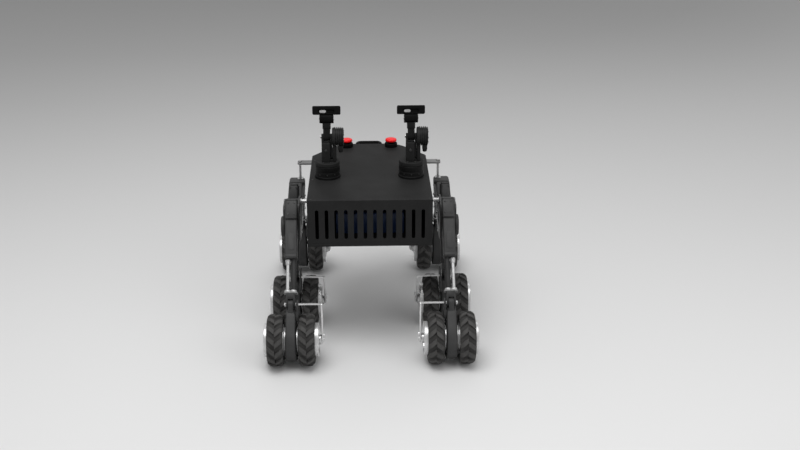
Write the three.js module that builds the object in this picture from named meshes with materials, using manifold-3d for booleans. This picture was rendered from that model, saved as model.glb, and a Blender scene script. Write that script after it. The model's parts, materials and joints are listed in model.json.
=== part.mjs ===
// Rover chassis: a vented box body with two short robot arms, carried between two rocker side
// frames. Each side frame holds three telescopic struts, and each strut carries a twin wheel.
// Millimetres, +Z up, -Y to the front (the vented end), +X to the right. The origin is on the
// floor, at the middle of the wheelbase.
import * as THREE from "three";
import { mergeVertices } from "three/addons/utils/BufferGeometryUtils.js";
import Module from "manifold-3d";

// Running gap between pieces that touch or slide.
const GAP = 0.3;

// Wheels
const TYRE_RADIUS = 82.5;
const TYRE_WIDTH = 50;
const TYRE_BORE = 50.3;
const TYRE_SIDES = 20;
const WHEEL_OFFSET = 49;
const AXLE_RADIUS = 10;
const STUB_RADIUS = 7;

// Wheel stations: the axle's place, the clevis pin above it, the top of its strut, how far the
// strut's block stands above that, and the block's width
const LEG_X = 250;
const CLEVIS_Z = 196;
const STATIONS = [
  { name: "front", axleY: -366, clevisY: -348, topY: -126.5, topZ: 455, block: 40, barY: 0 },
  { name: "middle", axleY: -77.5, clevisY: -122.5, topY: -0.2, topZ: 469, block: 30, barY: -87 },
  { name: "rear", axleY: 366, clevisY: 348, topY: 118, topZ: 405, block: 40, barY: -45 },
];

// Drive case
const CASE_WIDTH = 36;
const CASE_LOW_RADIUS = 66;
const CASE_HIGH_RADIUS = 34;
const CASE_HIGH_Z = 146;
const LUG_WIDTH = 16;
const LUG_RADIUS = 14;
const PIN_RADIUS = 5;

// Axle bracket: the bright L that steadies the inboard end of the axle
const BRACKET_BAR_Z = 208;
const BRACKET_DEPTH = 14;
const BRACKET_PLATE_X = -97;
const BRACKET_THICK = 5;

// Struts
const TUBE_START = 147;
const TUBE_WIDTH = 40;
const TUBE_DEPTH = 42;
const BLOCK_DEPTH = 54;
const BLOCK_LENGTH = 66;
const ROD_X = 9.5;
const ROD_RADIUS = 6;
const GUIDE_X = -8.5;
const GUIDE_RADIUS = 8.5;
const ROD_REACH = 236;
const BORE_REACH = 285;

// Side frame
const INNER_PLATE = [-26.3, -20.3];
const OUTER_PLATE = [20.3, 26.3];
const FRAME_TOP = 460;
const FRAME_BOTTOM = 329;
const PIVOT = { y: -100, z: 446 };
const PIVOT_RADIUS = 4;
const STRAP_X = [-14.5, -9.5];
const REAR_CAP = { y: [146, 188], z: [420, 426] };
const HUB = { y: -140, z: 374, radius: 34, face: 36 };

// Body
const BODY_HALF_WIDTH = 195;
const BODY_FRONT = -266;
const BODY_CORNER = 175;
const BODY_BACK = 308;
const BODY_BOTTOM = 355;
const TRAY_TOP = 366;
const DECK_TOP = 508;
const WALL = 3;
const VENT = { count: 12, pitch: 30, width: 11, low: 380, high: 477 };

// Differential bar
const BAR = { y: 176, z: 484, halfLength: 246, depth: 34, thick: 6, pin: 6 };

// Stop buttons on the deck
const BUTTON = { x: 78, y: 276, stem: 9, collar: 14, radius: 20 };

// Arms
const ARM_X = 136;
const ARM_Y = -38;
const ELBOW_Z = 643;
const HEAD_PIN = 7;
const ARM_LEAN = THREE.MathUtils.degToRad(20);

const wasm = await Module();
wasm.setup();

const paint = (color, roughness, metalness) =>
  new THREE.MeshStandardMaterial({ color, roughness, metalness });
const BLACK_PAINT = paint(0x2a2a2b, 0.55, 0.2);
const DARK_METAL = paint(0x4a4b4c, 0.5, 0.4);
const BRIGHT_METAL = paint(0xd4d5d8, 0.25, 0.95);
const RUBBER = paint(0x3c3d3d, 0.9, 0);
const BLACK_PLASTIC = paint(0x0d0d0e, 0.5, 0);
const RED_PLASTIC = paint(0xd81015, 0.35, 0);
const PACK_BLUE = paint(0x2a3f66, 0.6, 0);
const BOARD_CASE = paint(0x7f8387, 0.5, 0.6);

// ---- Solids -------------------------------------------------------------------------------

/** A closed manifold solid from a three.js geometry, whichever way its faces first point. */
function solid(geometry) {
  geometry.deleteAttribute("normal");
  geometry.deleteAttribute("uv");
  const merged = mergeVertices(geometry, 1e-4);
  const source = merged.index.array;
  const faces = [];
  for (let i = 0; i < source.length; i += 3) {
    const [a, b, c] = [source[i], source[i + 1], source[i + 2]];
    if (a !== b && b !== c && c !== a) faces.push(a, b, c);
  }
  const build = (triangles) => new wasm.Manifold(new wasm.Mesh({
    numProp: 3,
    vertProperties: new Float32Array(merged.attributes.position.array),
    triVerts: new Uint32Array(triangles),
  }));
  const body = build(faces);
  return body.volume() > 0 ? body : build(faces.reverse());
}

/** The named mesh of a solid. */
function part(name, body, material) {
  const { vertProperties, triVerts } = body.getMesh();
  const geometry = new THREE.BufferGeometry();
  geometry.setAttribute("position", new THREE.BufferAttribute(vertProperties, 3));
  geometry.setIndex(new THREE.BufferAttribute(triVerts, 1));
  geometry.computeVertexNormals();
  const mesh = new THREE.Mesh(geometry, material);
  mesh.name = name;
  return mesh;
}

const joined = (bodies) => bodies.reduce((all, next) => all.add(next));
const cut = (body, tools) => tools.reduce((left, tool) => left.subtract(tool), body);

const ALONG_X = new THREE.Matrix4().makeBasis(
  new THREE.Vector3(0, 1, 0), new THREE.Vector3(0, 0, 1), new THREE.Vector3(1, 0, 0));
const ALONG_Y = new THREE.Matrix4().makeBasis(
  new THREE.Vector3(0, 0, 1), new THREE.Vector3(1, 0, 0), new THREE.Vector3(0, 1, 0));

/** An outline pushed along an axis from low to high. */
function slab(outline, low, high, axis, curveSegments = 8) {
  const depth = high - low;
  const geometry = new THREE.ExtrudeGeometry(outline, { depth, bevelEnabled: false, curveSegments });
  geometry.translate(0, 0, low);
  if (axis !== undefined) geometry.applyMatrix4(axis);
  return solid(geometry);
}

/** A box between two corners. */
function box(x, y, z) {
  const geometry = new THREE.BoxGeometry(x[1] - x[0], y[1] - y[0], z[1] - z[0]);
  geometry.translate((x[0] + x[1]) / 2, (y[0] + y[1]) / 2, (z[0] + z[1]) / 2);
  return solid(geometry);
}

/** A round bar along X. */
function barX(radius, x, y, z, sides = 16) {
  const geometry = new THREE.CylinderGeometry(radius, radius, x[1] - x[0], sides);
  geometry.rotateZ(-Math.PI / 2);
  geometry.translate((x[0] + x[1]) / 2, y, z);
  return solid(geometry);
}

/** A round bar along Y. */
function barY(radius, x, y, z, sides = 16) {
  const geometry = new THREE.CylinderGeometry(radius, radius, y[1] - y[0], sides);
  geometry.translate(x, (y[0] + y[1]) / 2, z);
  return solid(geometry);
}

/** A round bar along Z, tapered when its two radii differ. */
function barZ(radius, x, y, z, sides = 16, topRadius = radius) {
  const geometry = new THREE.CylinderGeometry(topRadius, radius, z[1] - z[0], sides);
  geometry.rotateX(Math.PI / 2);
  geometry.translate(x, y, (z[0] + z[1]) / 2);
  return solid(geometry);
}

/** A profile of [radius, x] points turned about the X axis, with a flat side facing down. */
function turnedX(profile, sides) {
  const points = profile.map(([radius, x]) => new THREE.Vector2(radius, x));
  const geometry = new THREE.LatheGeometry(points, sides, Math.PI / sides);
  geometry.rotateZ(-Math.PI / 2);
  return solid(geometry);
}

/** A rectangle with rounded corners, centred on (x, y). */
function roundedRectangle(x, y, width, height, radius) {
  const [left, right] = [x - width / 2 + radius, x + width / 2 - radius];
  const [low, high] = [y - height / 2 + radius, y + height / 2 - radius];
  const outline = new THREE.Shape();
  outline.absarc(right, high, radius, 0, Math.PI / 2);
  outline.absarc(left, high, radius, Math.PI / 2, Math.PI);
  outline.absarc(left, low, radius, Math.PI, 1.5 * Math.PI);
  outline.absarc(right, low, radius, 1.5 * Math.PI, 2 * Math.PI);
  return outline;
}

/** The belt-shaped outline around two circles, given as [y, z, radius]. */
function beltOutline([y1, z1, r1], [y2, z2, r2]) {
  const along = Math.atan2(z2 - z1, y2 - y1);
  const spread = Math.acos((r1 - r2) / Math.hypot(y2 - y1, z2 - z1));
  const outline = new THREE.Shape();
  outline.absarc(y1, z1, r1, along + spread, along - spread + 2 * Math.PI);
  outline.absarc(y2, z2, r2, along - spread, along + spread);
  return outline;
}

/** The low and high end of a span on one side of the object: +1 right, -1 left. */
const sided = (side, [low, high]) => (side > 0 ? [low, high] : [-high, -low]);

// ---- Wheels -------------------------------------------------------------------------------

/** Half of a tyre's section, mirrored to the whole closed section. */
function tyreSection(centre) {
  const half = TYRE_WIDTH / 2;
  const tread = TYRE_RADIUS / Math.cos(Math.PI / TYRE_SIDES);
  const side = [[TYRE_BORE + 0.4, half - 1], [74, half], [tread, half - 10]];
  const ring = [...side, ...side.map(([radius, x]) => [radius, -x]).reverse()];
  return [...ring, ring[0]].map(([radius, x]) => [radius, x + centre]);
}

/** Both rims and the axle between them, as one turned piece; +x is the outboard end. */
function hubSection() {
  const half = TYRE_WIDTH / 2;
  const rim = TYRE_BORE - GAP;
  const flange = 53;
  const [innerFace, outerFace] = [-WHEEL_OFFSET - half - GAP, WHEEL_OFFSET + half + GAP];
  const caseSide = WHEEL_OFFSET - half + 1;
  return [
    [0, -103], [STUB_RADIUS, -103], [STUB_RADIUS, -94], [16, -94], [16, -68], [44, -68],
    [50, innerFace - 12], [flange, innerFace - 10], [flange, innerFace], [rim, innerFace],
    [rim, -caseSide], [AXLE_RADIUS, -caseSide], [AXLE_RADIUS, caseSide], [rim, caseSide],
    [rim, outerFace], [flange, outerFace], [flange, outerFace + 8], [50, outerFace + 10],
    [44, 66], [16, 66], [16, 72], [0, 72],
  ];
}

function wheelSet(side, prefix) {
  const mirrored = (section) => section.map(([radius, x]) => [radius, side * x]);
  const wheels = new THREE.Group();
  wheels.add(part(`${prefix}_outer_tyre`,
    turnedX(mirrored(tyreSection(WHEEL_OFFSET)), TYRE_SIDES), RUBBER));
  wheels.add(part(`${prefix}_inner_tyre`,
    turnedX(mirrored(tyreSection(-WHEEL_OFFSET)), TYRE_SIDES), RUBBER));
  wheels.add(part(`${prefix}_rims_and_axle`, turnedX(mirrored(hubSection()), 12), BRIGHT_METAL));
  return wheels;
}

// ---- Legs ---------------------------------------------------------------------------------

/** Gear case between the twin wheels, with the lug that the clevis pin passes through. */
function driveCase(side, prefix, clevisY) {
  const wide = CASE_WIDTH / 2;
  const lug = LUG_WIDTH / 2;
  const highY = clevisY * 0.8;
  const shell = slab(beltOutline([0, TYRE_RADIUS, CASE_LOW_RADIUS],
    [highY, CASE_HIGH_Z, CASE_HIGH_RADIUS]), -wide, wide, ALONG_X, 7);
  const ear = slab(beltOutline([highY, CASE_HIGH_Z, LUG_RADIUS + 8], [clevisY, CLEVIS_Z, LUG_RADIUS]),
    -lug, lug, ALONG_X, 4);
  const bores = [
    barX(AXLE_RADIUS + 0.8, [-30, 30], 0, TYRE_RADIUS, 16),
    barX(PIN_RADIUS + 0.6, [-30, 30], clevisY, CLEVIS_Z, 10),
  ];
  return part(`${prefix}_drive_case`, cut(shell.add(ear), bores), DARK_METAL);
}

/** Bright L: a foot on the case, a bar over the tyre, then a plate down to the axle's stub. */
function axleBracket(side, prefix, clevisY, barY0) {
  const half = BRACKET_DEPTH / 2;
  const plate = [BRACKET_PLATE_X - BRACKET_THICK / 2, BRACKET_PLATE_X + BRACKET_THICK / 2];
  const barSpan = [plate[0], -CASE_WIDTH / 2 - GAP];
  const bar = box(sided(side, barSpan), [barY0 - half, barY0 + half],
    [BRACKET_BAR_Z - 3, BRACKET_BAR_Z + 3]);
  const foot = box(sided(side, [-CASE_WIDTH / 2 - 6, -CASE_WIDTH / 2 - GAP]),
    [barY0 - half, Math.max(barY0 + half, clevisY * 0.8 + 10)], [150, BRACKET_BAR_Z + 3]);
  const drop = slab(beltOutline([barY0, BRACKET_BAR_Z - 7, 9], [0, TYRE_RADIUS, 15]),
    ...sided(side, plate), ALONG_X, 4);
  const hole = barX(STUB_RADIUS + 0.8, sided(side, [-110, -90]), 0, TYRE_RADIUS, 12);
  return part(`${prefix}_axle_bracket`, cut(joined([bar, foot, drop]), [hole]), BRIGHT_METAL);
}

/** Rod and guide bar on a yoke with a fork and its pin: what slides in the strut's tube. */
function strutRods(side, prefix) {
  const [rodX, guideX] = [side * ROD_X, side * GUIDE_X];
  const earGap = LUG_WIDTH / 2 + GAP;
  const ear = (x) => slab(beltOutline([0, 0, 12], [0, 34, 13]), ...x, ALONG_X, 3);
  return part(`${prefix}_strut_rods`, joined([
    barZ(ROD_RADIUS, rodX, 0, [40, ROD_REACH], 10),
    barZ(GUIDE_RADIUS, guideX, 0, [40, ROD_REACH], 12),
    box([-26, 26], [-12, 12], [36, 50]),
    ear([earGap, 16]),
    ear([-16, -earGap]),
    barX(PIN_RADIUS, [-17, 17], 0, 0, 10),
    barX(8.5, sided(side, [16, 22]), 0, 0, 6),
    barX(8.5, sided(side, [-18, -16]), 0, 0, 6),
  ]), BRIGHT_METAL);
}

/** Outer tube of the strut, with two blind bores and a clamping block at its top. */
function strutTube(side, prefix, length, width) {
  const outline = roundedRectangle(0, 0, TUBE_WIDTH, TUBE_DEPTH, 6);
  const block = roundedRectangle(0, 0, width, BLOCK_DEPTH, 8);
  const body = slab(outline, TUBE_START, length - BLOCK_LENGTH + 1, undefined, 2)
    .add(slab(block, length - BLOCK_LENGTH, length, undefined, 2));
  const boreEnd = Math.min(length - 12, BORE_REACH);
  const bores = [
    barZ(ROD_RADIUS + 0.6, side * ROD_X, 0, [TUBE_START - 1, boreEnd], 10),
    barZ(GUIDE_RADIUS + 0.6, side * GUIDE_X, 0, [TUBE_START - 1, boreEnd], 10),
  ];
  return part(`${prefix}_strut_tube`, cut(body, bores), DARK_METAL);
}

/** One leg: its wheels, case and bracket at the axle, and its strut leaning from the clevis. */
function leg(side, station) {
  const prefix = `${station.name}_${side > 0 ? "right" : "left"}`;
  const clevisY = station.clevisY - station.axleY;
  const [run, rise] = [station.topY - station.clevisY, station.topZ - CLEVIS_Z];

  const wheels = wheelSet(side, prefix);
  wheels.position.z = TYRE_RADIUS;

  const strut = new THREE.Group();
  strut.position.set(0, clevisY, CLEVIS_Z);
  strut.rotation.x = -Math.atan2(run, rise);
  strut.add(strutRods(side, prefix),
    strutTube(side, prefix, Math.hypot(run, rise), station.block));

  const whole = new THREE.Group();
  whole.position.set(side * LEG_X, station.axleY, 0);
  whole.add(wheels, strut, driveCase(side, prefix, clevisY),
    axleBracket(side, prefix, clevisY, station.barY));
  return whole;
}

// ---- Side frames --------------------------------------------------------------------------

/** Outline of a cheek plate: tall at the pivot, low amidships, raised again over the rear strut. */
function cheekOutline() {
  const outline = new THREE.Shape();
  outline.absarc(-150, FRAME_TOP - 16, 16, Math.PI / 2, Math.PI);
  outline.absarc(-150, FRAME_BOTTOM + 16, 16, Math.PI, 1.5 * Math.PI);
  outline.lineTo(-34, FRAME_BOTTOM);
  outline.quadraticCurveTo(6, FRAME_BOTTOM + 22, 46, FRAME_BOTTOM);
  outline.absarc(134, FRAME_BOTTOM + 12, 12, 1.5 * Math.PI, 2 * Math.PI - 0.2);
  outline.absarc(180, REAR_CAP.z[1] - 12, 12, -0.2, Math.PI / 2);
  outline.lineTo(140, REAR_CAP.z[1]);
  outline.lineTo(60, 392);
  outline.lineTo(-40, 428);
  outline.lineTo(-84, FRAME_TOP);
  outline.holes.push(roundedRectangle(-104, 380, 40, 40, 10));
  outline.holes.push(roundedRectangle(34, 362, 56, 36, 12));
  outline.holes.push(roundedRectangle(118, 368, 38, 34, 10));
  return outline;
}

/** Two cheek plates with spacers, outer hub, pivot shaft, rear cap and link strap. */
function sideFrame(side) {
  const label = side > 0 ? "right" : "left";
  const outline = cheekOutline();
  const plates = [INNER_PLATE, OUTER_PLATE].map((x) => slab(outline, ...sided(side, x), ALONG_X, 1));
  const spacers = [[-76, 438], [-112, 344], [80, 384], [112, 341]].map(([y, z]) =>
    barX(8, sided(side, [INNER_PLATE[1] - 1, OUTER_PLATE[0] + 1]), y, z, 8));
  const hub = barX(HUB.radius, sided(side, [OUTER_PLATE[1] - 1, HUB.face]), HUB.y, HUB.z, 24);
  const pivot = barX(PIVOT_RADIUS, sided(side, [-63, INNER_PLATE[0] + 1]), PIVOT.y, PIVOT.z, 12);
  const cap = box(sided(side, [INNER_PLATE[1] - 1, OUTER_PLATE[0] + 1]), REAR_CAP.y, REAR_CAP.z);
  const strap = box(sided(side, STRAP_X), [BAR.y - 12, BAR.y + 12], [REAR_CAP.z[0] + 1, BAR.z - 8]);
  const strapPin = barZ(3, side * (STRAP_X[0] + STRAP_X[1]) / 2, BAR.y, [BAR.z - 9, BAR.z + 8], 8);
  const frame = part(`${label}_side_frame`,
    joined([...plates, ...spacers, hub, pivot, cap, strap, strapPin]), DARK_METAL);
  frame.position.x = side * LEG_X;
  return frame;
}

// ---- Body ---------------------------------------------------------------------------------

/** Plan of the body: square front corners, long chamfers and a rounded run at the back. */
function bodyPlan(inset) {
  const x = BODY_HALF_WIDTH - inset;
  const back = BODY_BACK - inset;
  const outline = new THREE.Shape();
  outline.moveTo(-x, BODY_FRONT + inset);
  outline.lineTo(x, BODY_FRONT + inset);
  outline.lineTo(x, BODY_CORNER);
  outline.lineTo(x - 66, BODY_CORNER + 94);
  outline.quadraticCurveTo(x - 95, back, x - 140, back);
  outline.lineTo(-x + 140, back);
  outline.quadraticCurveTo(-x + 95, back, -x + 66, BODY_CORNER + 94);
  outline.lineTo(-x, BODY_CORNER);
  outline.closePath();
  return outline;
}

function vents() {
  const { count, pitch, width, low, high } = VENT;
  return Array.from({ length: count }, (_, index) => {
    const x = (index - (count - 1) / 2) * pitch;
    const slot = roundedRectangle((low + high) / 2, x, high - low, width, width / 2 - 0.01);
    return slab(slot, BODY_FRONT - 5, BODY_FRONT + WALL + 5, ALONG_Y, 1);
  });
}

/** Body shell: deck, walls and button collars in one, with vents, bar slots and pivot holes. */
function bodyShell() {
  const outside = slab(bodyPlan(0), TRAY_TOP + GAP, DECK_TOP, undefined, 6);
  const inside = slab(bodyPlan(WALL), TRAY_TOP - 5, DECK_TOP - WALL, undefined, 6);
  const slot = box([-210, 210], [BAR.y - 20, BAR.y + 20], [BAR.z - 25, DECK_TOP - WALL]);
  const hole = barX(PIVOT_RADIUS + 0.4, [-210, 210], PIVOT.y, PIVOT.z, 12);
  const lugs = [BAR.y - 30, BAR.y + 24].map((y) =>
    box([-14, 14], [y, y + 6], [BAR.z - 12, DECK_TOP - 1]));
  const lugHole = barY(BAR.pin + 0.4, 0, [BAR.y - 40, BAR.y + 40], BAR.z, 12);
  const shell = cut(outside, [inside, slot, hole, ...vents()]);
  const collars = [-BUTTON.x, BUTTON.x].map((x) =>
    barZ(22, x, BUTTON.y, [DECK_TOP - 1, DECK_TOP + BUTTON.collar]));
  const stems = [-BUTTON.x, BUTTON.x].map((x) =>
    barZ(BUTTON.stem + 0.6, x, BUTTON.y, [DECK_TOP - 10, DECK_TOP + 20], 12));
  return part("body_shell",
    cut(joined([shell, ...lugs, ...collars]), [lugHole, ...stems]), BLACK_PAINT);
}

function bottomTray() {
  const floor = slab(bodyPlan(0), BODY_BOTTOM, TRAY_TOP, undefined, 6);
  const inside = slab(bodyPlan(WALL), BODY_BOTTOM + WALL, TRAY_TOP + 5, undefined, 6);
  return part("bottom_tray", cut(floor, [inside]), BLACK_PAINT);
}

function batteryPack() {
  const base = BODY_BOTTOM + WALL + GAP;
  return part("battery_pack", box([-110, 110], [-170, -30], [base, base + 72]), PACK_BLUE);
}

function controller() {
  const base = BODY_BOTTOM + WALL + GAP;
  return part("drive_controller", box([-95, 95], [20, 140], [base, base + 46]), BOARD_CASE);
}

/** Bar across the body that ties the two side frames together and rocks on a pin at its middle. */
function differentialBar() {
  const { y, z, halfLength, depth, thick, pin } = BAR;
  const bar = slab(roundedRectangle(0, y, 2 * halfLength, depth, 8),
    z - thick / 2, z + thick / 2, undefined, 3);
  const strapX = LEG_X + (STRAP_X[0] + STRAP_X[1]) / 2;
  const eyes = [strapX, -strapX].map((x) =>
    slab(roundedRectangle(x, y, 11, 20, 5.4), z - 10, z + 10, undefined, 1));
  const hub = barY(11, 0, [y - 17, y + 17], z, 12);
  return part("differential_bar",
    cut(bar, eyes).add(hub).add(barY(pin, 0, [y - 34, y + 34], z, 12)), BRIGHT_METAL);
}

/** U-shaped carrying handle on the back wall. */
function rearHandle() {
  const path = new THREE.CurvePath();
  const [half, reach, z, wall] = [40, 26, DECK_TOP - 5, BODY_BACK + GAP];
  const corner = 12;
  const point = (x, y) => new THREE.Vector3(x, wall + y, z);
  path.add(new THREE.LineCurve3(point(-half, 0), point(-half, reach - corner)));
  path.add(new THREE.QuadraticBezierCurve3(point(-half, reach - corner), point(-half, reach),
    point(-half + corner, reach)));
  path.add(new THREE.LineCurve3(point(-half + corner, reach), point(half - corner, reach)));
  path.add(new THREE.QuadraticBezierCurve3(point(half - corner, reach), point(half, reach),
    point(half, reach - corner)));
  path.add(new THREE.LineCurve3(point(half, reach - corner), point(half, 0)));
  const grip = new THREE.Shape().absarc(0, 0, 7, 0, 2 * Math.PI);
  const geometry = new THREE.ExtrudeGeometry(grip, { steps: 16, extrudePath: path, curveSegments: 3 });
  return part("rear_handle", solid(geometry), BLACK_PLASTIC);
}

/** Stop button: a domed head over the deck's collar, on a stem that runs down through it. */
function stopButton(side) {
  const label = side > 0 ? "right" : "left";
  const { radius, stem, collar } = BUTTON;
  const [low, edge, high] = [collar + 4, collar + 12, collar + 16];
  const head = barZ(radius, 0, 0, [low, edge], 18).add(barZ(radius, 0, 0, [edge, high], 18, 15));
  const button = part(`${label}_stop_button`,
    head.add(barZ(stem, 0, 0, [-16, low + 1], 12)), RED_PLASTIC);
  button.position.set(side * BUTTON.x, BUTTON.y, DECK_TOP);
  return button;
}

// ---- Arms ---------------------------------------------------------------------------------

function armBase() {
  return barZ(42, 0, 0, [DECK_TOP + GAP, 530], 20).add(barZ(40, 0, 0, [530, 549.5], 20));
}

/** Turntable with the upright that carries the elbow; its geared motor is on the +X side. */
function armTurret() {
  const cheek = beltOutline([0, 580, 22], [0, ELBOW_Z, 10]);
  const uprights = [[11.4, 17], [-17, -11.4]].map((x) => slab(cheek, ...x, ALONG_X, 4));
  const web = box([-17, 17], [-22, 22], [562, 627]);
  const motor = barX(31, [17.3, 54], 0, ELBOW_Z, 20);
  const column = box([18, 30], [-16, 16], [562, ELBOW_Z - 20]);
  const flange = barX(20, [16, 22], 0, ELBOW_Z, 14);
  const stub = box([36, 52], [-8, 8], [ELBOW_Z - 53, ELBOW_Z - 25]);
  const bore = barX(6.8, [-30, 12.5], 0, ELBOW_Z, 12);
  const table = barZ(39.5, 0, 0, [550, 563], 20);
  return cut(joined([table, web, column, ...uprights, flange, motor, stub]), [bore]);
}

/** Forearm on the elbow pin: link, neck and wrist housing, in the elbow's own leaning frame. */
function forearm() {
  const link = slab(beltOutline([0, 0, 13], [0, 18, 10]), -11, 11, ALONG_X, 4);
  const neck = box([-13, 13], [-11, 11], [24, 44]);
  const wrist = slab(roundedRectangle(0, 56.8, 34, 27, 9), -22.5, 22.5, ALONG_X, 3);
  const socket = barZ(HEAD_PIN + 0.6, 0, 0, [58, 80], 12);
  return cut(joined([link, neck, wrist, barX(6, [-17, 12], 0, 0, 12)]), [socket]);
}

/** Head bar with a recessed window in its front. */
function armHead() {
  const bar = slab(roundedRectangle(0, 84.5, 90, 27, 4), -13, 13, ALONG_HEAD, 2);
  const window = slab(roundedRectangle(0, 80.5, 52, 12, 5.9), -20, -8, ALONG_HEAD, 3);
  return cut(bar, [window]).add(barZ(HEAD_PIN, 0, 0, [60, 74], 12));
}

const ALONG_HEAD = new THREE.Matrix4().makeBasis(
  new THREE.Vector3(-1, 0, 0), new THREE.Vector3(0, 0, 1), new THREE.Vector3(0, 1, 0));

function arm(side) {
  const label = side > 0 ? "right" : "left";
  const upper = new THREE.Group();
  upper.position.z = ELBOW_Z;
  upper.rotation.x = -ARM_LEAN;
  upper.add(part(`${label}_arm_forearm`, forearm(), DARK_METAL));
  upper.add(part(`${label}_arm_head`, armHead(), BLACK_PLASTIC));
  const whole = new THREE.Group();
  whole.position.set(side * ARM_X, ARM_Y, 0);
  whole.add(part(`${label}_arm_base`, armBase(), BLACK_PAINT));
  whole.add(part(`${label}_arm_turret`, armTurret(), DARK_METAL), upper);
  return whole;
}

// ---- Assembly -----------------------------------------------------------------------------

const chassis = new THREE.Group();
chassis.add(bodyShell(), bottomTray(), batteryPack(), controller(), rearHandle(), differentialBar());
for (const side of [-1, 1]) {
  chassis.add(sideFrame(side), stopButton(side), arm(side));
  for (const station of STATIONS) chassis.add(leg(side, station));
}

export default chassis;
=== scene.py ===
"""Looks of the rover chassis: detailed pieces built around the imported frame, in metres, +Z up."""
import json
import math

import bmesh
import bpy
from mathutils import Matrix, Vector


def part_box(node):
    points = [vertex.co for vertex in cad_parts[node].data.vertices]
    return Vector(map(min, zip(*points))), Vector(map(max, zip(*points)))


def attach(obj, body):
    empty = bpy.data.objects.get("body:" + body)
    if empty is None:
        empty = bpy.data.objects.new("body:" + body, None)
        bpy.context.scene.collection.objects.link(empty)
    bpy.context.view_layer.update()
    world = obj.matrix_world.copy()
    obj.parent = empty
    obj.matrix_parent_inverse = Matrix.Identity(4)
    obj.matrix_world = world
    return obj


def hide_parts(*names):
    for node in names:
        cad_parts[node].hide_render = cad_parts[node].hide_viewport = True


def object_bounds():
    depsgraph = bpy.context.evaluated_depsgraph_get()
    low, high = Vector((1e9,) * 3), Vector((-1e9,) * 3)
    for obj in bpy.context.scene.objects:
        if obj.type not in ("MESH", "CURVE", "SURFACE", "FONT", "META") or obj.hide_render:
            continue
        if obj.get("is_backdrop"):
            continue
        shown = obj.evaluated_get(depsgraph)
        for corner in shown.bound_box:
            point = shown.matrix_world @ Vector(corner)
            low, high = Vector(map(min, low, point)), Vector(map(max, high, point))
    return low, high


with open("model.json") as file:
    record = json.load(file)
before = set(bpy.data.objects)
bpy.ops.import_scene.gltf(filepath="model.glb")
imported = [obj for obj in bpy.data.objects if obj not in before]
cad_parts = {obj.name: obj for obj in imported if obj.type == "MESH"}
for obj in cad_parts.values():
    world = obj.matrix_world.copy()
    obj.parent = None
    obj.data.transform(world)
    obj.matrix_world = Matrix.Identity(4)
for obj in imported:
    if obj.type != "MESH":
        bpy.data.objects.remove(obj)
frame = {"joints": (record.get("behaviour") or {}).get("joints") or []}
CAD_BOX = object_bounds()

MM = 0.001
JOINTS = {joint["name"]: joint for joint in frame["joints"]}
STATIONS = ("front", "middle", "rear")
SIDES = (("left", -1), ("right", 1))

# Wheels
TYRE_RADIUS = 82.5 * MM
WHEEL_OFFSET = 49 * MM
LUG_COUNT = 14
LUG_INNER, LUG_OUTER = 0.4, 24.2
TREAD_FLAT = 11 * MM
SHOULDER_CURVE = 0.605 / (13 * MM)

# Legs: height and radius of the drive case's upper end; per station the clevis and bracket
# bar's distance behind the axle, the strut's length and the width of its block
LEG_X = 250
CLEVIS_Z = 196 * MM
CASE_HALF = 18
CASE_HIGH = (146 * MM, 34 * MM)
LEGS = {
    "front": {"clevis": 18 * MM, "bar": 0, "length": 340.8 * MM, "block": 40 * MM},
    "middle": {"clevis": -45 * MM, "bar": -87 * MM, "length": 299.1 * MM, "block": 30 * MM},
    "rear": {"clevis": -18 * MM, "bar": -45 * MM, "length": 310.8 * MM, "block": 40 * MM},
}
ROD_X, ROD_RADIUS = 9.5 * MM, 5.2 * MM
GUIDE_X, GUIDE_RADIUS = -8.5 * MM, 8.5 * MM
ROD_REACH = 236 * MM
TUBE_START = 147 * MM
BLOCK_LENGTH = 66 * MM

# Body; the pivots' place in Y and Z, the cross bar's in Y and Z, a stop button's in X and Y
WALL = 3 * MM
DECK_TOP = 508 * MM
PIVOT_YZ = (-100 * MM, 446 * MM)
BAR_Y, BAR_Z = 176 * MM, 484 * MM
BUTTON_X, BUTTON_Y = 78 * MM, 276 * MM


# ---- Meshes -------------------------------------------------------------------------------

def arc(x, y, radius, start, end, count):
    """Points on a circle from one angle to another, in degrees."""
    steps = [math.radians(start + (end - start) * i / count) for i in range(count + 1)]
    return [(x + radius * math.cos(a), y + radius * math.sin(a)) for a in steps]


def in_mm(points, way=1):
    """Points given in millimetres; where way is -1 their second value is mirrored."""
    return [(a * MM, way * b * MM) for a, b in points]


def rounded_rectangle(x, y, width, height, radius, count=5):
    right, left = x + width / 2 - radius, x - width / 2 + radius
    high, low = y + height / 2 - radius, y - height / 2 + radius
    return (arc(right, high, radius, 0, 90, count) + arc(left, high, radius, 90, 180, count)
            + arc(left, low, radius, 180, 270, count) + arc(right, low, radius, 270, 360, count))


def belt(first, second, count=20):
    """Outline of a belt round two circles, each (x, y, radius)."""
    (x1, y1, r1), (x2, y2, r2) = first, second
    along = math.degrees(math.atan2(y2 - y1, x2 - x1))
    spread = math.degrees(math.acos((r1 - r2) / math.hypot(x2 - x1, y2 - y1)))
    return (arc(x1, y1, r1, along + spread, along - spread + 360, count)
            + arc(x2, y2, r2, along - spread, along + spread, count))


def softened(points, radius, closed=True, count=3):
    """The outline with its corners rounded off."""
    result = []
    total = len(points)
    for i, point in enumerate(points):
        if not closed and i in (0, total - 1):
            result.append(point)
            continue
        here, before, after = Vector(point), Vector(points[i - 1]), Vector(points[(i + 1) % total])
        reach = min(radius, 0.45 * (before - here).length, 0.45 * (after - here).length)
        start = here + (before - here).normalized() * reach
        end = here + (after - here).normalized() * reach
        for k in range(count + 1):
            t = k / count
            result.append(tuple(start.lerp(here, t).lerp(here.lerp(end, t), t)))
    return result


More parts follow.
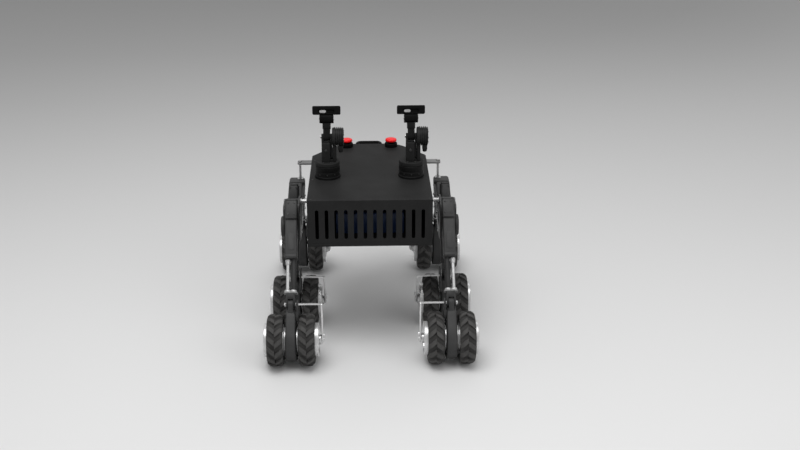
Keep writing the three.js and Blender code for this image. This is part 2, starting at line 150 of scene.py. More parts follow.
AXIS = {
    "X": lambda a, b, along: (along, a, b),
    "Y": lambda a, b, along: (a, along, b),
    "Z": lambda a, b, along: (a, b, along),
}


def prism(bm, outline, low, high, axis="Z", holes=(), bevel=0.0, segments=2, matrix=None):
    """Adds an outline, with any holes, pushed along an axis; its sharp edges are rounded."""
    part = bmesh.new()
    place = AXIS[axis]
    edges = []
    for loop in [outline, *holes]:
        ring = [part.verts.new(place(a, b, low)) for a, b in loop]
        edges += [part.edges.new((ring[i - 1], ring[i])) for i in range(len(ring))]
    if holes:
        bmesh.ops.triangle_fill(part, use_beauty=True, edges=edges)
    else:
        part.faces.new([v for v in part.verts])
    base = list(part.faces)
    grown = bmesh.ops.extrude_face_region(part, geom=base, use_keep_orig=True)
    moved = [v for v in grown["geom"] if isinstance(v, bmesh.types.BMVert)]
    step = Vector(place(0, 0, high)) - Vector(place(0, 0, low))
    bmesh.ops.translate(part, verts=moved, vec=step)
    bmesh.ops.recalc_face_normals(part, faces=part.faces)
    round_edges(part, bevel, segments)
    pour(part, bm, matrix)


def round_edges(part, bevel, segments=2, angle=35):
    """Rounds the edges of a bmesh that are sharper than an angle."""
    if bevel <= 0:
        return
    sharp = [e for e in part.edges
             if len(e.link_faces) == 2 and e.calc_face_angle(0) > math.radians(angle)]
    bmesh.ops.bevel(part, geom=sharp, offset=bevel, segments=segments, profile=0.5,
                    affect="EDGES", clamp_overlap=True)


def box(bm, x, y, z, bevel=0.0, segments=2, matrix=None):
    """Adds a box between two corners, with rounded edges."""
    part = bmesh.new()
    bmesh.ops.create_cube(part, size=1)
    for v in part.verts:
        v.co = Vector((lerp(x, v.co.x), lerp(y, v.co.y), lerp(z, v.co.z)))
    bmesh.ops.recalc_face_normals(part, faces=part.faces)
    round_edges(part, bevel, segments)
    pour(part, bm, matrix)


def lerp(span, t):
    return span[0] + (span[1] - span[0]) * (t + 0.5)


def turned(bm, profile, axis="Z", centre=(0, 0, 0), sides=48, soft=0.0, matrix=None):
    """Adds a profile of (radius, along) points turned about an axis. It starts and ends on
    the axis, or else closes on itself."""
    ring_shape = profile[0][0] > 0
    points = softened(profile, soft, closed=ring_shape) if soft else list(profile)
    part = bmesh.new()
    place = AXIS[axis]
    rings = []
    for radius, along in points:
        if radius < 1e-7:
            rings.append([part.verts.new(place(0, 0, along))])
            continue
        angles = [2 * math.pi * i / sides for i in range(sides)]
        rings.append([part.verts.new(place(radius * math.cos(a), radius * math.sin(a), along))
                      for a in angles])
    pairs = list(zip(rings, rings[1:]))
    if ring_shape:
        pairs.append((rings[-1], rings[0]))
    for first, second in pairs:
        for i in range(sides):
            corners = [first[i % len(first)], first[(i + 1) % len(first)],
                       second[(i + 1) % len(second)], second[i % len(second)]]
            unique = list(dict.fromkeys(corners))
            if len(unique) > 2:
                part.faces.new(unique)
    bmesh.ops.translate(part, verts=part.verts, vec=Vector(centre))
    bmesh.ops.recalc_face_normals(part, faces=part.faces)
    pour(part, bm, matrix)


def rod(bm, radius, axis, centre, low, high, sides=32, soft=0.6 * MM, matrix=None):
    """Adds a round bar with softened ends."""
    turned(bm, [(0, low), (radius, low), (radius, high), (0, high)], axis, centre, sides, soft,
           matrix)


def pour(part, bm, matrix=None):
    """Moves one bmesh's faces into another."""
    if matrix is not None:
        part.transform(matrix)
    copies = {v: bm.verts.new(v.co) for v in part.verts}
    for face in part.faces:
        bm.faces.new([copies[v] for v in face.verts])
    part.free()


def standing(at, direction, matrix=None):
    """Frame with its origin at a point and its +Z along a direction."""
    turn = Vector(direction).to_track_quat("Z", "Y").to_matrix().to_4x4()
    place = Matrix.Translation(at) @ turn
    return place if matrix is None else matrix @ place


def bolt(bm, at, direction, radius, height, matrix=None):
    """Adds a socket-head bolt standing on a point."""
    sides = 24
    rings = [(radius, -0.3 * height, 0), (radius, 0.75 * height, 0), (0.86 * radius, height, 0),
             (0.56 * radius, height, 1), (0.5 * radius, 0.35 * height, 1)]
    part = bmesh.new()
    loops = []
    for r, z, hexed in rings:
        loop = []
        for i in range(sides):
            a = 2 * math.pi * i / sides
            flat = math.cos(math.pi / 6) / math.cos((a % (math.pi / 3)) - math.pi / 6)
            reach = r * flat if hexed else r
            loop.append(part.verts.new((reach * math.cos(a), reach * math.sin(a), z)))
        loops.append(loop)
    for first, second in zip(loops, loops[1:]):
        for i in range(sides):
            j = (i + 1) % sides
            part.faces.new((first[i], first[j], second[j], second[i]))
    part.faces.new(loops[-1])
    part.faces.new(list(reversed(loops[0])))
    pour(part, bm, standing(at, direction, matrix))


def nut(bm, at, direction, radius, height, matrix=None):
    """Adds a chamfered hexagon nut with a dished middle."""
    place = standing(at, direction, matrix)
    hexagon = [(radius * math.cos(math.radians(60 * i)), radius * math.sin(math.radians(60 * i)))
               for i in range(6)]
    prism(bm, hexagon, 0, height, "Z", bevel=0.08 * radius, matrix=place)
    dish = [(0, 0), (0.62, 0), (0.62, 1.15), (0.5, 1.3), (0, 1.3)]
    turned(bm, [(r * radius, z * height) for r, z in dish], "Z", sides=24, matrix=place)


def linked(name, data):
    """A new object in the scene that shows a mesh, light or camera."""
    obj = bpy.data.objects.new(name, data)
    bpy.context.scene.collection.objects.link(obj)
    return obj


def piece(name, bm, material, body, replaces=(), smooth=32):
    """Makes a named object of a bmesh, which rides on a body."""
    mesh = bpy.data.meshes.new(name)
    bmesh.ops.remove_doubles(bm, verts=bm.verts, dist=1e-7)
    bm.to_mesh(mesh)
    bm.free()
    mesh.shade_smooth()
    mesh.set_sharp_from_angle(angle=math.radians(smooth))
    mesh.materials.append(material)
    obj = linked(name, mesh)
    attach(obj, body)
    if replaces:
        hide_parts(*replaces)
    return obj


# ---- Materials ----------------------------------------------------------------------------

def shader(name, roughness, metallic=0.0, **sockets):
    """A new material with its Principled shader, whose plain values are set on the sockets."""
    material = bpy.data.materials.new(name)
    material.use_nodes = True
    nodes = material.node_tree.nodes
    principled = nodes["Principled BSDF"]
    principled.inputs["Roughness"].default_value = roughness
    principled.inputs["Metallic"].default_value = metallic
    for socket, value in sockets.items():
        principled.inputs[socket.replace("_", " ")].default_value = value
    return material, principled


def noise(tree, scale, detail=4.0, stretch=(1, 1, 1), roughness=0.55):
    """A noise texture over the object's own coordinates."""
    coordinates = tree.nodes.new("ShaderNodeTexCoord")
    mapping = tree.nodes.new("ShaderNodeMapping")
    mapping.inputs["Scale"].default_value = stretch
    texture = tree.nodes.new("ShaderNodeTexNoise")
    texture.inputs["Scale"].default_value = scale
    texture.inputs["Detail"].default_value = detail
    texture.inputs["Roughness"].default_value = roughness
    tree.links.new(coordinates.outputs["Object"], mapping.inputs["Vector"])
    tree.links.new(mapping.outputs["Vector"], texture.inputs["Vector"])
    return texture


def ramp(tree, value, stops):
    """A colour ramp of (position, colour) stops, fed by a socket's value."""
    node = tree.nodes.new("ShaderNodeValToRGB")
    elements = node.color_ramp.elements
    while len(elements) < len(stops):
        elements.new(0.5)
    for element, (position, colour) in zip(elements, stops):
        element.position = position
        element.color = (*colour, 1)
    tree.links.new(value, node.inputs["Fac"])
    return node


def roughness_map(tree, source, low, high):
    node = tree.nodes.new("ShaderNodeMapRange")
    node.inputs["From Min"].default_value = 0.3
    node.inputs["From Max"].default_value = 0.7
    node.inputs["To Min"].default_value = low
    node.inputs["To Max"].default_value = high
    tree.links.new(source.outputs["Fac"], node.inputs["Value"])
    return node


def bump(tree, sources, strength):
    """Bumps laid over each other, each a (texture, distance in metres)."""
    last = None
    for texture, distance in sources:
        node = tree.nodes.new("ShaderNodeBump")
        node.inputs["Strength"].default_value = strength
        node.inputs["Distance"].default_value = distance
        tree.links.new(texture.outputs["Fac"], node.inputs["Height"])
        if last is not None:
            tree.links.new(last.outputs["Normal"], node.inputs["Normal"])
        last = node
    return last


def surface(name, colours, roughness, metallic, colour_scale, grain, grain_depth,
            strength=0.5, stretch=(1, 1, 1), **sockets):
    """A finish with mottled colour, uneven gloss and a fine grain.

    colours are the dark and light ends of the mottling, roughness its two ends, grain the
    scale of the fine bump and grain_depth its height in metres."""
    material, principled = shader(name, roughness[0], metallic, **sockets)
    tree = material.node_tree
    cloud = noise(tree, colour_scale, 5)
    fine = noise(tree, grain, 3, stretch)
    tint = ramp(tree, cloud.outputs["Fac"], [(0.3, colours[0]), (0.7, colours[1])])
    tree.links.new(tint.outputs["Color"], principled.inputs["Base Color"])
    tree.links.new(roughness_map(tree, fine, *roughness).outputs["Result"],
                   principled.inputs["Roughness"])
    relief = bump(tree, [(cloud, grain_depth * 2), (fine, grain_depth)], strength)
    tree.links.new(relief.outputs["Normal"], principled.inputs["Normal"])
    return material


def grey(value, warm=0.0):
    return (value * (1 + warm), value, value * (1 - warm))


PAINT = surface("black_powder_coat", (grey(0.016), grey(0.021)), (0.54, 0.66), 0.0,
                14, 900, 0.00005, 0.3, Specular_IOR_Level=0.06)
BASE = surface("black_enamel", (grey(0.006), grey(0.010)), (0.45, 0.58), 0.0,
               20, 900, 0.00004, 0.3, Specular_IOR_Level=0.08)
ARM = surface("arm_casting", (grey(0.014), grey(0.021)), (0.42, 0.55), 0.0,
              22, 800, 0.00006, 0.4, Specular_IOR_Level=0.14)
CASE = surface("grey_cast_case", (grey(0.034), grey(0.046)), (0.45, 0.6), 0.0,
               22, 700, 0.0001, 0.45, Specular_IOR_Level=0.25)
PLATE = surface("anodised_plate", (grey(0.026), grey(0.036)), (0.38, 0.5), 0.0,
                18, 500, 0.00004, 0.35, (1, 1, 9), Specular_IOR_Level=0.3)
BRIGHT = surface("machined_aluminium", (grey(0.46), grey(0.60)), (0.36, 0.5), 0.75,
                 30, 420, 0.00003, 0.3, (14, 1, 1))
SATIN = surface("satin_aluminium", (grey(0.15), grey(0.21)), (0.42, 0.55), 0.5,
                30, 420, 0.00003, 0.3)
RIM = surface("rim_aluminium", (grey(0.62), grey(0.74)), (0.26, 0.36), 0.65,
              30, 420, 0.00003, 0.3)
STEEL = surface("bolt_steel", (grey(0.32), grey(0.5)), (0.3, 0.45), 0.9, 60, 900, 0.00003)
DARK_STEEL = surface("blackened_steel", (grey(0.03), grey(0.05)), (0.34, 0.5), 0.5,
                     60, 900, 0.00003)
GUIDE = surface("guide_enamel", (grey(0.018), grey(0.03)), (0.4, 0.52), 0.1,
                26, 600, 0.00006, 0.4, Specular_IOR_Level=0.25)
# painted shade: the carcass rubber is a darker copy of the tyre rubber, so the grooves between the lugs
# look shaded
CARCASS_PAINTED_SHADE = surface("carcass_rubber", (grey(0.028, 0.02), grey(0.040, 0.03)), (0.66, 0.85), 0.0,
                  40, 1300, 0.00012, 0.6, Specular_IOR_Level=0.25)
RUBBER = surface("tyre_rubber", (grey(0.042, 0.02), grey(0.062, 0.03)), (0.66, 0.85), 0.0,
                 40, 1300, 0.00012, 0.6, Specular_IOR_Level=0.35)
PLASTIC = surface("black_plastic", (grey(0.0022), grey(0.0035)), (0.5, 0.62), 0.0,
                  30, 1600, 0.00004, 0.4, Specular_IOR_Level=0.06)
RED = surface("red_button", ((0.70, 0.003, 0.005), (0.84, 0.006, 0.008)), (0.26, 0.36), 0.0,
              40, 900, 0.00003, 0.2, Specular_IOR_Level=0.3)
LENS = surface("pale_window", (grey(0.30), grey(0.38)), (0.2, 0.3), 0.0,
               60, 700, 0.00002, 0.2, Coat_Weight=0.5, Coat_Roughness=0.08)
SEAL = surface("seal_rubber", (grey(0.012), grey(0.02)), (0.5, 0.7), 0.0, 60, 1200, 0.00005)
WRAP = surface("battery_wrap", ((0.02, 0.045, 0.13), (0.03, 0.06, 0.17)), (0.3, 0.45), 0.0,
               26, 500, 0.00008, 0.5)
BOARD = surface("controller_case", (grey(0.26), grey(0.34)), (0.35, 0.5), 0.9,
                24, 600, 0.00005, 0.4, (1, 12, 1))


# ---- Wheels -------------------------------------------------------------------------------

def tyre_height(w):
    """Tread radius at a distance from the tyre's middle: flat, then a round shoulder."""
    return TYRE_RADIUS - SHOULDER_CURVE * max(0.0, w - TREAD_FLAT) ** 2


def carcass(bm, x):
    half = [(51.0, 20.5), (52.5, 23.0), (57.0, 24.6), (66.0, 24.9), (69.0, 24.9), (69.6, 25.0),
            (70.4, 25.0), (71.0, 24.4), (73.0, 22.4), (74.6, 18.0), (75.2, 10.0)]
    turned(bm, in_mm(half) + in_mm(reversed(half), -1), "X", (x, 0, TYRE_RADIUS), sides=72)


def lug(bm, x, angle, side, lead):
    """One arm of a chevron: from the middle of the tread out over the shoulder.

    lead is +1 when the arms trail back from the middle, -1 when they run ahead of it."""
    samples = 7
    sweep = math.radians(14.5) * lead
    base, land = math.radians(6.6), math.radians(5.0)
    sections = []
    for i in range(samples):
        w = (LUG_INNER + (LUG_OUTER - LUG_INNER) * i / (samples - 1)) * MM
        top = tyre_height(w)
        bottom = top - 8 * MM if i < samples - 1 else top - 6 * MM
        middle = angle + sweep * i / (samples - 1)
        offsets = [(-base, bottom), (-base, bottom + 1 * MM), (-land - 0.006, top - 0.9 * MM),
                   (-land, top), (land, top), (land + 0.006, top - 0.9 * MM),
                   (base, bottom + 1 * MM), (base, bottom)]
        ring = [bm.verts.new((x + side * w, r * math.sin(middle + a),
                              TYRE_RADIUS + r * math.cos(middle + a))) for a, r in offsets]
        sections.append(ring)
    for first, second in zip(sections, sections[1:]):
        for i in range(len(first)):
            j = (i + 1) % len(first)
            order = (first[i], first[j], second[j], second[i])
            bm.faces.new(order if side > 0 else tuple(reversed(order)))
    for end, flip in ((sections[0], side > 0), (sections[-1], side < 0)):
        bm.faces.new(list(reversed(end)) if flip else end)


def tyre(prefix, name, x, y, lead):
    """Carcass and the lugs of its tread; the carcass is coloured darker as painted shade in the grooves
    between the lugs.
    """
    band, lugs = bmesh.new(), bmesh.new()
    carcass(band, x)
    for i in range(LUG_COUNT):
        angle = 2 * math.pi * i / LUG_COUNT
        lug(lugs, x, angle, 1, lead)
        lug(lugs, x, angle + math.pi / LUG_COUNT * 0.5, -1, lead)
    bmesh.ops.recalc_face_normals(lugs, faces=lugs.faces)
    for bm in (band, lugs):
        bmesh.ops.translate(bm, verts=bm.verts, vec=(0, y, 0))
    node, body = f"{prefix}_{name}", f"{prefix}_wheels"
    piece(f"{node}_tread", lugs, RUBBER, body, [node])
    piece(f"{node}_carcass", band, CARCASS_PAINTED_SHADE, body)


def rim_face(bm, side, at, depth, centre):
    """Spoked disc with six windows, its face looking along side."""
    x, y, z = centre
    windows = []
    for k in range(6):
        middle = 60 * k + 30
        inner = arc(0, 0, 20 * MM, middle - 17, middle + 17, 5)
        outer = arc(0, 0, 39 * MM, middle + 21, middle - 21, 8)
        windows.append(softened(inner + outer, 2.5 * MM, count=2))
    holes = [[(y + a, z + b) for a, b in loop] for loop in windows]
    low, high = sorted((x + side * at * MM, x + side * (at + depth) * MM))
    outline = arc(y, z, 46.5 * MM, 0, 352, 44)
    prism(bm, outline, low, high, "X", holes, bevel=0.8 * MM)


def rims(prefix, side, x, y):
    """Both rims: barrels, flanges, spoked discs, hubs and the axle between them."""
    z = TYRE_RADIUS
    body = f"{prefix}_wheels"
    bright, bolts, drums = bmesh.new(), bmesh.new(), bmesh.new()
    for way, lip, hub_end in ((1, 84.3, 72), (-1, 86.3, 94)):
        out = side * way
        barrel = [(46, 28), (50, 28), (50, 74.4), (52.9, 74.6), (52.9, lip - 2), (51.5, lip),
                  (49.5, lip), (48.4, lip - 2.5), (46.5, 68)]
        turned(bright, in_mm(barrel, out), "X", (x, y, z), sides=72)
        rim_face(bright, out, 61, 5, (x, y, z))
        hub = ((0, 58), (16, 58), (16, hub_end - 2), (14, hub_end), (0, hub_end))
        turned(bright, in_mm(hub, out), "X", (x, y, z), sides=40)
        drum = ((0, 21.9), (39, 21.9), (40, 22.9), (40, 25), (49.6, 25), (49.6, 42), (0, 42))
        turned(drums, in_mm(drum, out), "X", (x, y, z), sides=48)
        for k in range(6):
            a = math.radians(60 * k)
            at = (x + out * 66 * MM, y + 28 * MM * math.cos(a), z + 28 * MM * math.sin(a))
            bolt(bolts, at, (out, 0, 0), 3.4 * MM, 3 * MM)
    rod(bright, 10 * MM, "X", (x, y, z), -31 * MM, 31 * MM)
    rod(bright, 7 * MM, "X", (x, y, z), *sorted((-side * 102.8 * MM, -side * 92 * MM)), soft=1.5 * MM)
    nut(bolts, (x + side * 72 * MM, y, z), (side, 0, 0), 10 * MM, 5 * MM)
    piece(f"{prefix}_rims", bright, RIM, body, [f"{prefix}_rims_and_axle"])
    piece(f"{prefix}_inner_rims", drums, RIM, body)
    piece(f"{prefix}_rim_bolts", bolts, STEEL, body)


# ---- Legs ---------------------------------------------------------------------------------

def case_outline(y, clevis_y, shrink=0.0):
    high_z, high_radius = CASE_HIGH
    return belt((y, TYRE_RADIUS, 66 * MM - shrink),
                (y + 0.8 * clevis_y, high_z, high_radius - shrink), 26)


def taper(bm, x):
    """Narrows what is in a bmesh towards its top, about the plane at x."""
    for vert in bm.verts:
        vert.co.x = x + (vert.co.x - x) * (1 - 1.2 * (vert.co.z - 16 * MM))


def drive_case(prefix, x, y, clevis_y):
    """Case with cover plates and bolts on its tapering sides, and the clevis lug on top."""
    body = f"{prefix}_slider"
    high_y, high_z = y + 0.8 * clevis_y, CASE_HIGH[0]
    shell = bmesh.new()
    prism(shell, case_outline(y, clevis_y), x - CASE_HALF * MM, x + CASE_HALF * MM, "X",
          bevel=5 * MM, segments=4)
    taper(shell, x)
    lug = belt((high_y, high_z, 22 * MM), (y + clevis_y, CLEVIS_Z, 14 * MM), 16)
    prism(shell, lug, x - 8 * MM, x + 8 * MM, "X", bevel=1.5 * MM)
    saddle = belt((high_y, high_z, 24 * MM), (y + 0.89 * clevis_y, 169 * MM, 13.5 * MM), 16)
    prism(shell, saddle, x - 13.8 * MM, x + 13.8 * MM, "X", bevel=2.5 * MM, segments=3)
    piece(f"{prefix}_case_shell", shell, CASE, body, [f"{prefix}_drive_case"])

    covers, bolts, flanges = bmesh.new(), bmesh.new(), bmesh.new()
    for out in (-1, 1):
        face = CASE_HALF * out
        plate = belt((y, TYRE_RADIUS, 48 * MM), (high_y, high_z, 18 * MM), 20)
        low, high = sorted((x + face * MM, x + (face + 1.5 * out) * MM))
        prism(covers, plate, low, high, "X", bevel=0.6 * MM)
        flange = ((12, 15), (40, 15), (40, 20.2), (38.8, 21), (12, 21))
        turned(flanges, in_mm(flange, out), "X", (x, y, TYRE_RADIUS), sides=56)
        rows = [(y, TYRE_RADIUS, 57, 200 + 220 * k / 6) for k in range(7)]
        rows += [(high_y, high_z, 26, 10 + 160 * k / 3) for k in range(4)]
        for at_y, at_z, reach, angle in rows:
            a = math.radians(angle)
            bolt(bolts, (x + face * MM, at_y + reach * MM * math.cos(a),
                         at_z + reach * MM * math.sin(a)), (out, 0, 0), 3 * MM, 2.4 * MM)
    taper(covers, x)
    taper(bolts, x)
    piece(f"{prefix}_case_covers", covers, PLATE, body)
    piece(f"{prefix}_case_flanges", flanges, RIM, body)
    piece(f"{prefix}_case_bolts", bolts, PLATE, body)


def axle_bracket(prefix, side, x, y, clevis_y, bar):
    """Bright bar over the tyre and drop plate to the stub axle, on a dark foot."""
    bar_y = y + bar
    foot_back = max(bar_y + 7 * MM, y + 0.8 * clevis_y + 10 * MM)
    span = lambda near, far: sorted((x - side * near * MM, x - side * far * MM))
    bm = bmesh.new()
    box(bm, span(23.5, 99.5), (bar_y - 3.5 * MM, bar_y + 3.5 * MM), (203.4 * MM, 207.8 * MM), 1 * MM)
    drop = belt((bar_y, 201 * MM, 6.8 * MM), (y, TYRE_RADIUS, 12.5 * MM), 14)
    bolt(bm, (x - side * 99.5 * MM, y, TYRE_RADIUS + 16 * MM), (-side, 0, 0), 5.5 * MM, 5 * MM)
    prism(bm, drop, *span(95, 99.5), "X", [arc(y, TYRE_RADIUS, 7.6 * MM, 0, 348, 29)],
          bevel=0.7 * MM)
    body = f"{prefix}_slider"
    piece(f"{prefix}_bracket_bar", bm, RIM, body, [f"{prefix}_axle_bracket"])

    foot = bmesh.new()
    box(foot, span(15.3, 24), (bar_y - 7 * MM, foot_back), (150 * MM, 181 * MM), 1.5 * MM)
    box(foot, span(18.4, 24), (bar_y - 7 * MM, foot_back), (179 * MM, 211 * MM), 1.5 * MM)
    piece(f"{prefix}_bracket_foot", foot, CASE, body)


def strut_place(prefix, x, y, clevis_y):
    """Frame of a strut: its origin at the clevis pin and its +Z along the slide."""
    direction = Vector(JOINTS[f"{prefix}_strut"]["axis"])
    lean = math.atan2(direction.y, direction.z)
    return Matrix.Translation((x, y + clevis_y, CLEVIS_Z)) @ Matrix.Rotation(-lean, 4, "X")


def strut_rods(prefix, side, place):
    """Bright rod and dark guide bar on a yoke, over a dark fork."""
    body = f"{prefix}_slider"
    rod_x, guide_x = side * ROD_X, side * GUIDE_X
    bright = bmesh.new()
    rod(bright, ROD_RADIUS, "Z", (rod_x, 0, 0), 40 * MM, ROD_REACH, matrix=place)
    slim = prefix.startswith("middle")
    rings = [(rod_x, 10)] if slim else [(rod_x, 10), (guide_x, 9.6)]
    for x, radius in rings:
        turned(bright, [(0, 39 * MM), (radius * MM, 39 * MM), (radius * MM, 45 * MM),
                        ((radius - 3) * MM, 48 * MM), (0, 48 * MM)], "Z", (x, 0, 0), soft=0.8 * MM,
               matrix=place)
    nut(bright, (side * 14 * MM, 0, 0), (side, 0, 0), 6.8 * MM, 5 * MM, matrix=place)
    nut(bright, (-side * 14 * MM, 0, 0), (-side, 0, 0), 6 * MM, 3.6 * MM, matrix=place)
    piece(f"{prefix}_bright_rod", bright, BRIGHT, body, [f"{prefix}_strut_rods"])
    yoke = bmesh.new()
    near, far = (18, 18) if slim else (21, 22)
    box(yoke, sorted((side * near * MM, -side * far * MM)), (-10 * MM, 10 * MM), (33.4 * MM, 39.8 * MM),
        2.8 * MM, 4, matrix=place)
    piece(f"{prefix}_yoke", yoke, PLATE if slim else SATIN, body)

    dark = bmesh.new()
    rod(dark, GUIDE_RADIUS, "Z", (guide_x, 0, 0), 39 * MM, ROD_REACH, matrix=place)
    for low, high in ((-14, -8.4), (8.4, 14)):
        prism(dark, belt((0, 0, 12 * MM), (0, 21 * MM, 12.6 * MM), 14), low * MM, high * MM, "X",
              bevel=1.2 * MM, matrix=place)
    box(dark, (-13.9 * MM, 13.9 * MM), (-12.4 * MM, 12.4 * MM), (14.8 * MM, 34 * MM), 1.2 * MM,
        matrix=place)
    piece(f"{prefix}_fork_and_guide", dark, GUIDE, body)


def strut_tube(prefix, station, side, place):
    """Outer tube with wiper seals at its mouth and a clamping block at its top."""
    body = f"{'left' if side < 0 else 'right'}_rocker"
    rod_x, guide_x = side * ROD_X, side * GUIDE_X
    width, length = LEGS[station]["block"], LEGS[station]["length"]
    start = TUBE_START
    bm = bmesh.new()
    outline = rounded_rectangle(0, 0, 38.6 * MM, 42 * MM, 5 * MM)
    bores = [arc(rod_x, 0, ROD_RADIUS + 0.6 * MM, 0, 348, 29),
             arc(guide_x, 0, GUIDE_RADIUS + 0.6 * MM, 0, 348, 29)]
    prism(bm, outline, start, length - BLOCK_LENGTH + 1 * MM, "Z", bores, bevel=0.6 * MM, matrix=place)
    block = rounded_rectangle(0, 0, width - 0.4 * MM, 54 * MM, 6 * MM)
    cap = rounded_rectangle(0, 0, width - 1.6 * MM, 52.8 * MM, 6 * MM)
    prism(bm, block, length - BLOCK_LENGTH, length - 7 * MM, "Z", bores, bevel=0.8 * MM, matrix=place)
    prism(bm, cap, length - 7.2 * MM, length, "Z", bevel=2.5 * MM, segments=3, matrix=place)
    for out in (-1, 1):
        low, high = sorted((out * 20.8 * MM, out * 22.2 * MM))
        pad = rounded_rectangle(0, start + 52 * MM, 20 * MM, 56 * MM, 5 * MM)
        prism(bm, pad, low, high, "Y", bevel=0.5 * MM, matrix=place)
    collar = rounded_rectangle(0, 0, 40 * MM, 45 * MM, 6 * MM)
    inner = rounded_rectangle(0, 0, 38 * MM, 41.4 * MM, 4.7 * MM)
    prism(bm, collar, start + 2 * MM, start + 10 * MM, "Z", [inner], bevel=0.8 * MM, matrix=place)
    piece(f"{prefix}_tube_body", bm, CASE, body, [f"{prefix}_strut_tube"])

    seals = bmesh.new()
    for x, radius in ((rod_x, ROD_RADIUS), (guide_x, GUIDE_RADIUS)):
        turned(seals, [(radius + a * MM, start + b * MM) for a, b in (
            (0.4, -2.5), (1.4, -2.5), (1.8, 0.5), (0.4, 0.5))], "Z", (x, 0, 0), matrix=place)
    piece(f"{prefix}_wiper_seals", seals, SEAL, body)
    gland = bmesh.new()
    turned(gland, [(ROD_RADIUS + a * MM, start + b * MM) for a, b in (
        (0.6, -18), (1.8, -18), (2.2, -17), (2.2, -9), (3, -8), (3, -2.7), (0.6, -2.7))],
        "Z", (rod_x, 0, 0), matrix=place)
    piece(f"{prefix}_rod_gland", gland, BRIGHT, body)

    bolts = bmesh.new()
    for out in (-1, 1):
        for dx in (-10, 10):
            for dz in (14, 52):
                bolt(bolts, (dx * MM, out * 27 * MM, length - BLOCK_LENGTH + dz * MM), (0, out, 0),
                     2.8 * MM, 2 * MM, matrix=place)
    piece(f"{prefix}_tube_bolts", bolts, DARK_STEEL, body)


def leg(station, label, side):
    prefix = f"{station}_{label}"
    x, y = JOINTS[f"{prefix}_spin"]["pos_m"][:2]
    clevis_y = LEGS[station]["clevis"]
    place = strut_place(prefix, x, y, clevis_y)
    tyre(prefix, "outer_tyre", x + side * WHEEL_OFFSET, y, -side)
    tyre(prefix, "inner_tyre", x - side * WHEEL_OFFSET, y, -side)
    rims(prefix, side, x, y)
    drive_case(prefix, x, y, clevis_y)
    axle_bracket(prefix, side, x, y, clevis_y, LEGS[station]["bar"])
    strut_rods(prefix, side, place)
    strut_tube(prefix, station, side, place)


# ---- Side frames --------------------------------------------------------------------------

def cheek_outline(top):
    """A cheek plate: tall at the pivot, low amidships, raised again over the rear strut."""
    tilt = math.degrees(0.2)
    points = arc(-150, top - 16, 16, 90, 180, 8) + arc(-150, 345, 16, 180, 270, 8)
    points += [(6 - 40 * math.cos(math.pi * t / 10), 329 + 11 * math.sin(math.pi * t / 10))
               for t in range(11)]
    points += arc(134, 341, 12, 270, 360 - tilt, 6) + arc(180, 402, 12, -tilt, 90, 8)
    points += softened([(152, 414), (124, 414), (60, 392), (-40, 428), (-84, top), (-100, top)],
                       14, closed=False, count=4)
    return in_mm(points)


CHEEK_WINDOWS = ((-104, 380, 40, 40, 10), (34, 362, 56, 36, 12), (118, 368, 38, 34, 10))
SPACERS = ((-76, 438), (-112, 344), (80, 384), (112, 341))


